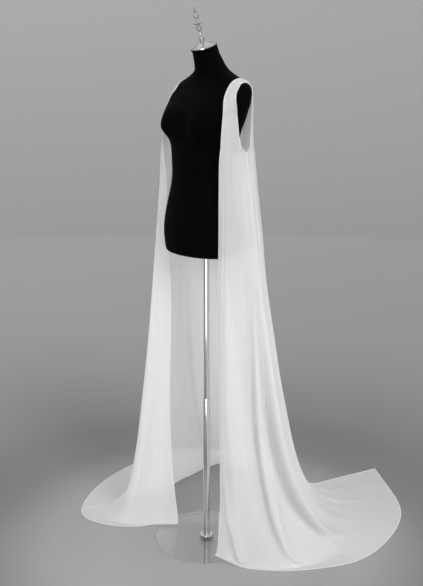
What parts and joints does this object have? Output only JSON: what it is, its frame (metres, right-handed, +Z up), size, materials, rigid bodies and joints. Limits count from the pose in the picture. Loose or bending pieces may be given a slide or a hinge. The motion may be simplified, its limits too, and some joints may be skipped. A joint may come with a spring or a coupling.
{
  "type": "evening cape on a dress form",
  "caption": "Sheer floor-length evening cape in two gathered shoulder wings with a train, worn on a limbless dress form with a pole and a round glass base.",
  "frame": {"origin": "on the floor, on the axis of the pole, at the underside of the round base", "axes": "+Z up, the form faces -Y, the wearer's left is +X, the train runs towards +Y"},
  "size_m": [1.1652, 1.1849, 1.8852],
  "materials": {
    "chiffon": "sheer white chiffon, soft and matt with a faint sheen",
    "form_cover": "black stretch jersey cover",
    "bright_metal": "polished chrome",
    "base_glass": "clear glass with a polished edge"
  },
  "bodies": {
    "root": {"left_front": "chiffon", "left_back": "chiffon", "right_front": "chiffon", "right_back": "chiffon", "form_body": "form_cover", "neck_cap": "bright_metal", "neck_finial": "bright_metal", "upper_pole": "bright_metal", "lower_pole": "bright_metal", "base_flange": "bright_metal", "base_plate": "base_glass"}
  },
  "joints": []
}
